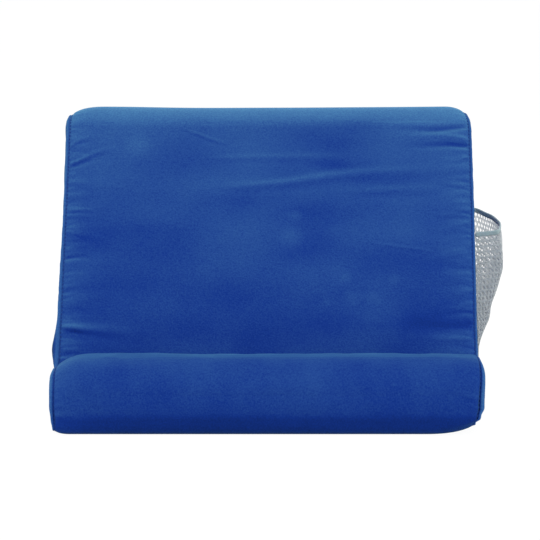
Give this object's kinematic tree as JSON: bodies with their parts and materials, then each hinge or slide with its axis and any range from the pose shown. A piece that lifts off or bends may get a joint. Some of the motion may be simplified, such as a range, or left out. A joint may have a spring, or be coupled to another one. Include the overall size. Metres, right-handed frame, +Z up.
{
  "type": "tablet pillow stand",
  "caption": "Soft wedge-shaped pillow stand that holds a tablet or book on its slope, behind a padded front lip, with a net side pocket.",
  "frame": {"origin": "on the floor, halfway between the side seams and halfway from the cushion's front to its back", "axes": "+X across the stand to the side with the pocket, +Y from the lip at the front to the back, +Z up"},
  "size_m": [0.3075, 0.2555, 0.1948],
  "materials": {
    "cover": "short velvety plush with a brushed nap, blue",
    "net": "knitted polyester net with small lengthwise holes, light grey",
    "binding": "ribbed polyester tape folded over the net's edge, grey-blue"
  },
  "bodies": {
    "root": {"cushion": "cover", "pocket_net": "net", "pocket_binding": "binding"}
  },
  "joints": []
}
